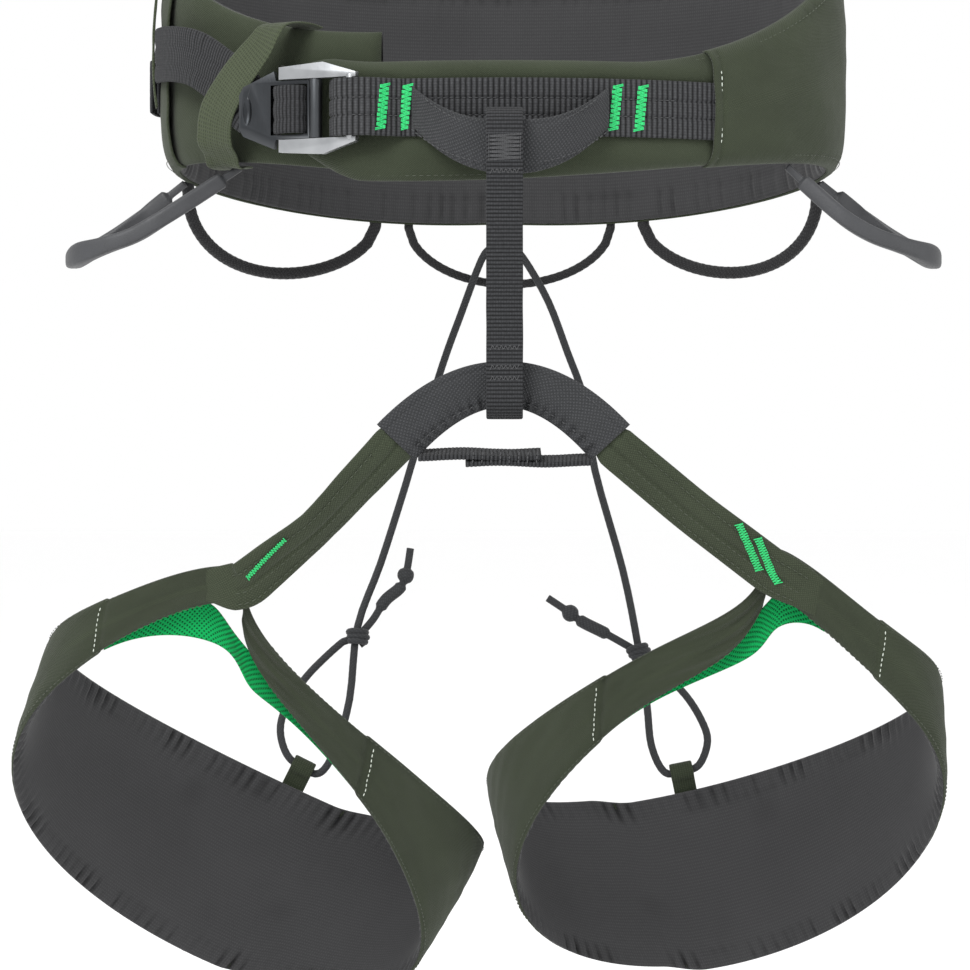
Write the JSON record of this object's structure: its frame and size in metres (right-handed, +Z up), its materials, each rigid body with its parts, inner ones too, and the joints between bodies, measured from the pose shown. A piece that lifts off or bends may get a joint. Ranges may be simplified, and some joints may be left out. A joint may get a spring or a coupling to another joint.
{
  "type": "climbing harness",
  "caption": "Padded waist belt and two leg loops joined by a belay loop and tie-in sleeves, with a slide buckle, gear loops and elastic rear risers.",
  "frame": {"origin": "centre of the waist opening, at the height of the front webbing", "axes": "+Z up, -Y is the wearer's front, +X is the wearer's left side"},
  "size_m": [0.4098, 0.2458, 0.475],
  "materials": {
    "padding_foam": "matt",
    "olive_fabric": "fine woven stretch shell",
    "dark_liner": "knitted spacer liner",
    "grey_webbing": "coarse ribbed polyamide webbing",
    "tie_in_weave": "coarse plain weave",
    "olive_elastic": "knitted elastic tape",
    "bright_alloy": "satin tumbled",
    "dark_alloy": "dark anodised, satin",
    "green_thread": "polyester bar-tack thread",
    "green_mesh": "open knitted mesh",
    "pale_thread": "polyester thread",
    "riser_cord": "elastic cord, braided sheath",
    "moulded_grey": "soft-touch moulded tube",
    "sheathed_cord": "braided sheath"
  },
  "bodies": {
    "waist_belt": {"waist_foam": "padding_foam", "waist_shell": "olive_fabric", "waist_liner": "dark_liner", "waist_cover": "olive_fabric", "waist_webbing": "grey_webbing", "waist_strap": "grey_webbing", "strap_tail": "grey_webbing", "keeper_front": "olive_elastic", "keeper_side": "olive_elastic", "buckle_frame": "bright_alloy", "waist_bar_tacks": "green_thread", "upper_tie_in_sleeve": "tie_in_weave", "riser_anchor_tab": "grey_webbing"},
    "buckle_plate": {"buckle_plate": "dark_alloy"},
    "belay_loop": {"belay_loop_outer": "grey_webbing", "belay_loop_inner": "grey_webbing", "belay_stitching": "pale_thread"},
    "leg_bridge": {"lower_tie_in_sleeve": "tie_in_weave", "cross_strap_left": "grey_webbing", "cross_strap_right": "grey_webbing"},
    "leg_loop_left": {"leg_foam_left": "padding_foam", "leg_shell_left": "olive_fabric", "leg_liner_left": "dark_liner", "mesh_gusset_left": "green_mesh", "leg_strap_left": "olive_fabric", "leg_tacks_left": "green_thread", "rear_tab_left": "olive_fabric"},
    "leg_loop_right": {"leg_foam_right": "padding_foam", "leg_shell_right": "olive_fabric", "leg_liner_right": "dark_liner", "mesh_gusset_right": "green_mesh", "leg_strap_right": "olive_fabric", "leg_tacks_right": "green_thread", "rear_tab_right": "olive_fabric"},
    "risers": {"riser_left": "riser_cord", "riser_right": "riser_cord", "hitch_left": "riser_cord", "hitch_right": "riser_cord", "tail_left": "riser_cord", "tail_right": "riser_cord"},
    "front_gear_loop_left": {"front_gear_loop_left": "moulded_grey"},
    "front_gear_loop_right": {"front_gear_loop_right": "moulded_grey"},
    "side_gear_loop_left": {"side_gear_loop_left": "sheathed_cord"},
    "side_gear_loop_right": {"side_gear_loop_right": "sheathed_cord"},
    "haul_loop": {"haul_loop": "sheathed_cord"}
  },
  "joints": [
    {"name": "buckle_plate_tilt", "type": "hinge", "parent": "waist_belt", "child": "buckle_plate", "pos_m": [-0.07869, -0.09628, 0.0022], "axis": [0, 0, 1], "range_deg": [0, 26]},
    {"name": "belay_loop_swing", "type": "hinge", "parent": "waist_belt", "child": "belay_loop", "pos_m": [0, -0.1235, -0.01045], "axis": [-1, 0, 0], "range_deg": [-12, 12]},
    {"name": "leg_bridge_swing", "type": "hinge", "parent": "belay_loop", "child": "leg_bridge", "pos_m": [0, -0.1235, -0.11755], "axis": [-1, 0, 0], "range_deg": [-13, 13]},
    {"name": "riser_swing", "type": "hinge", "parent": "waist_belt", "child": "risers", "pos_m": [0, 0.104, -0.0425], "axis": [-1, 0, 0], "range_deg": [-7, 7], "deforming": ["riser_left", "riser_right"]},
    {"name": "leg_loop_left_swing", "type": "hinge", "parent": "leg_bridge", "child": "leg_loop_left", "pos_m": [-0.04622, -0.12558, -0.13937], "axis": [-0.1922, 0.7684, -0.6104], "range_deg": [-3, 12], "stiffness_Nm_per_rad": 6},
    {"name": "leg_loop_right_swing", "type": "hinge", "parent": "leg_bridge", "child": "leg_loop_right", "pos_m": [0.0452, -0.12558, -0.13938], "axis": [-0.1556, -0.7757, 0.6116], "range_deg": [-3, 12], "stiffness_Nm_per_rad": 6},
    {"name": "front_gear_loop_left_flex", "type": "hinge", "parent": "waist_belt", "child": "front_gear_loop_left", "pos_m": [-0.11736, -0.04656, -0.01813], "axis": [-0.3746, 0.9269, -0.0237], "range_deg": [-30, 15], "stiffness_Nm_per_rad": 0.12},
    {"name": "front_gear_loop_right_flex", "type": "hinge", "parent": "waist_belt", "child": "front_gear_loop_right", "pos_m": [0.12505, -0.051, -0.01813], "axis": [-0.2537, -0.967, 0.0231], "range_deg": [-30, 15], "stiffness_Nm_per_rad": 0.12},
    {"name": "side_gear_loop_left_flex", "type": "hinge", "parent": "waist_belt", "child": "side_gear_loop_left", "pos_m": [-0.14205, 0.02516, -0.02081], "axis": [0.7582, 0.6419, -0.1143], "range_deg": [-20, 50], "stiffness_Nm_per_rad": 0.03},
    {"name": "side_gear_loop_right_flex", "type": "hinge", "parent": "waist_belt", "child": "side_gear_loop_right", "pos_m": [0.14205, 0.02516, -0.02081], "axis": [0.7406, -0.6614, 0.1181], "range_deg": [-20, 50], "stiffness_Nm_per_rad": 0.03},
    {"name": "haul_loop_flex", "type": "hinge", "parent": "waist_belt", "child": "haul_loop", "pos_m": [0.05127, 0.09741, -0.0336], "axis": [0.9998, -0.0186, 0.0023], "range_deg": [-3, 60], "stiffness_Nm_per_rad": 0.02}
  ],
  "couplings": [
    {"joint": "leg_bridge_swing", "follows": "belay_loop_swing", "ratio": -1},
    {"joint": "riser_swing", "follows": "belay_loop_swing", "ratio": 0.444}
  ]
}
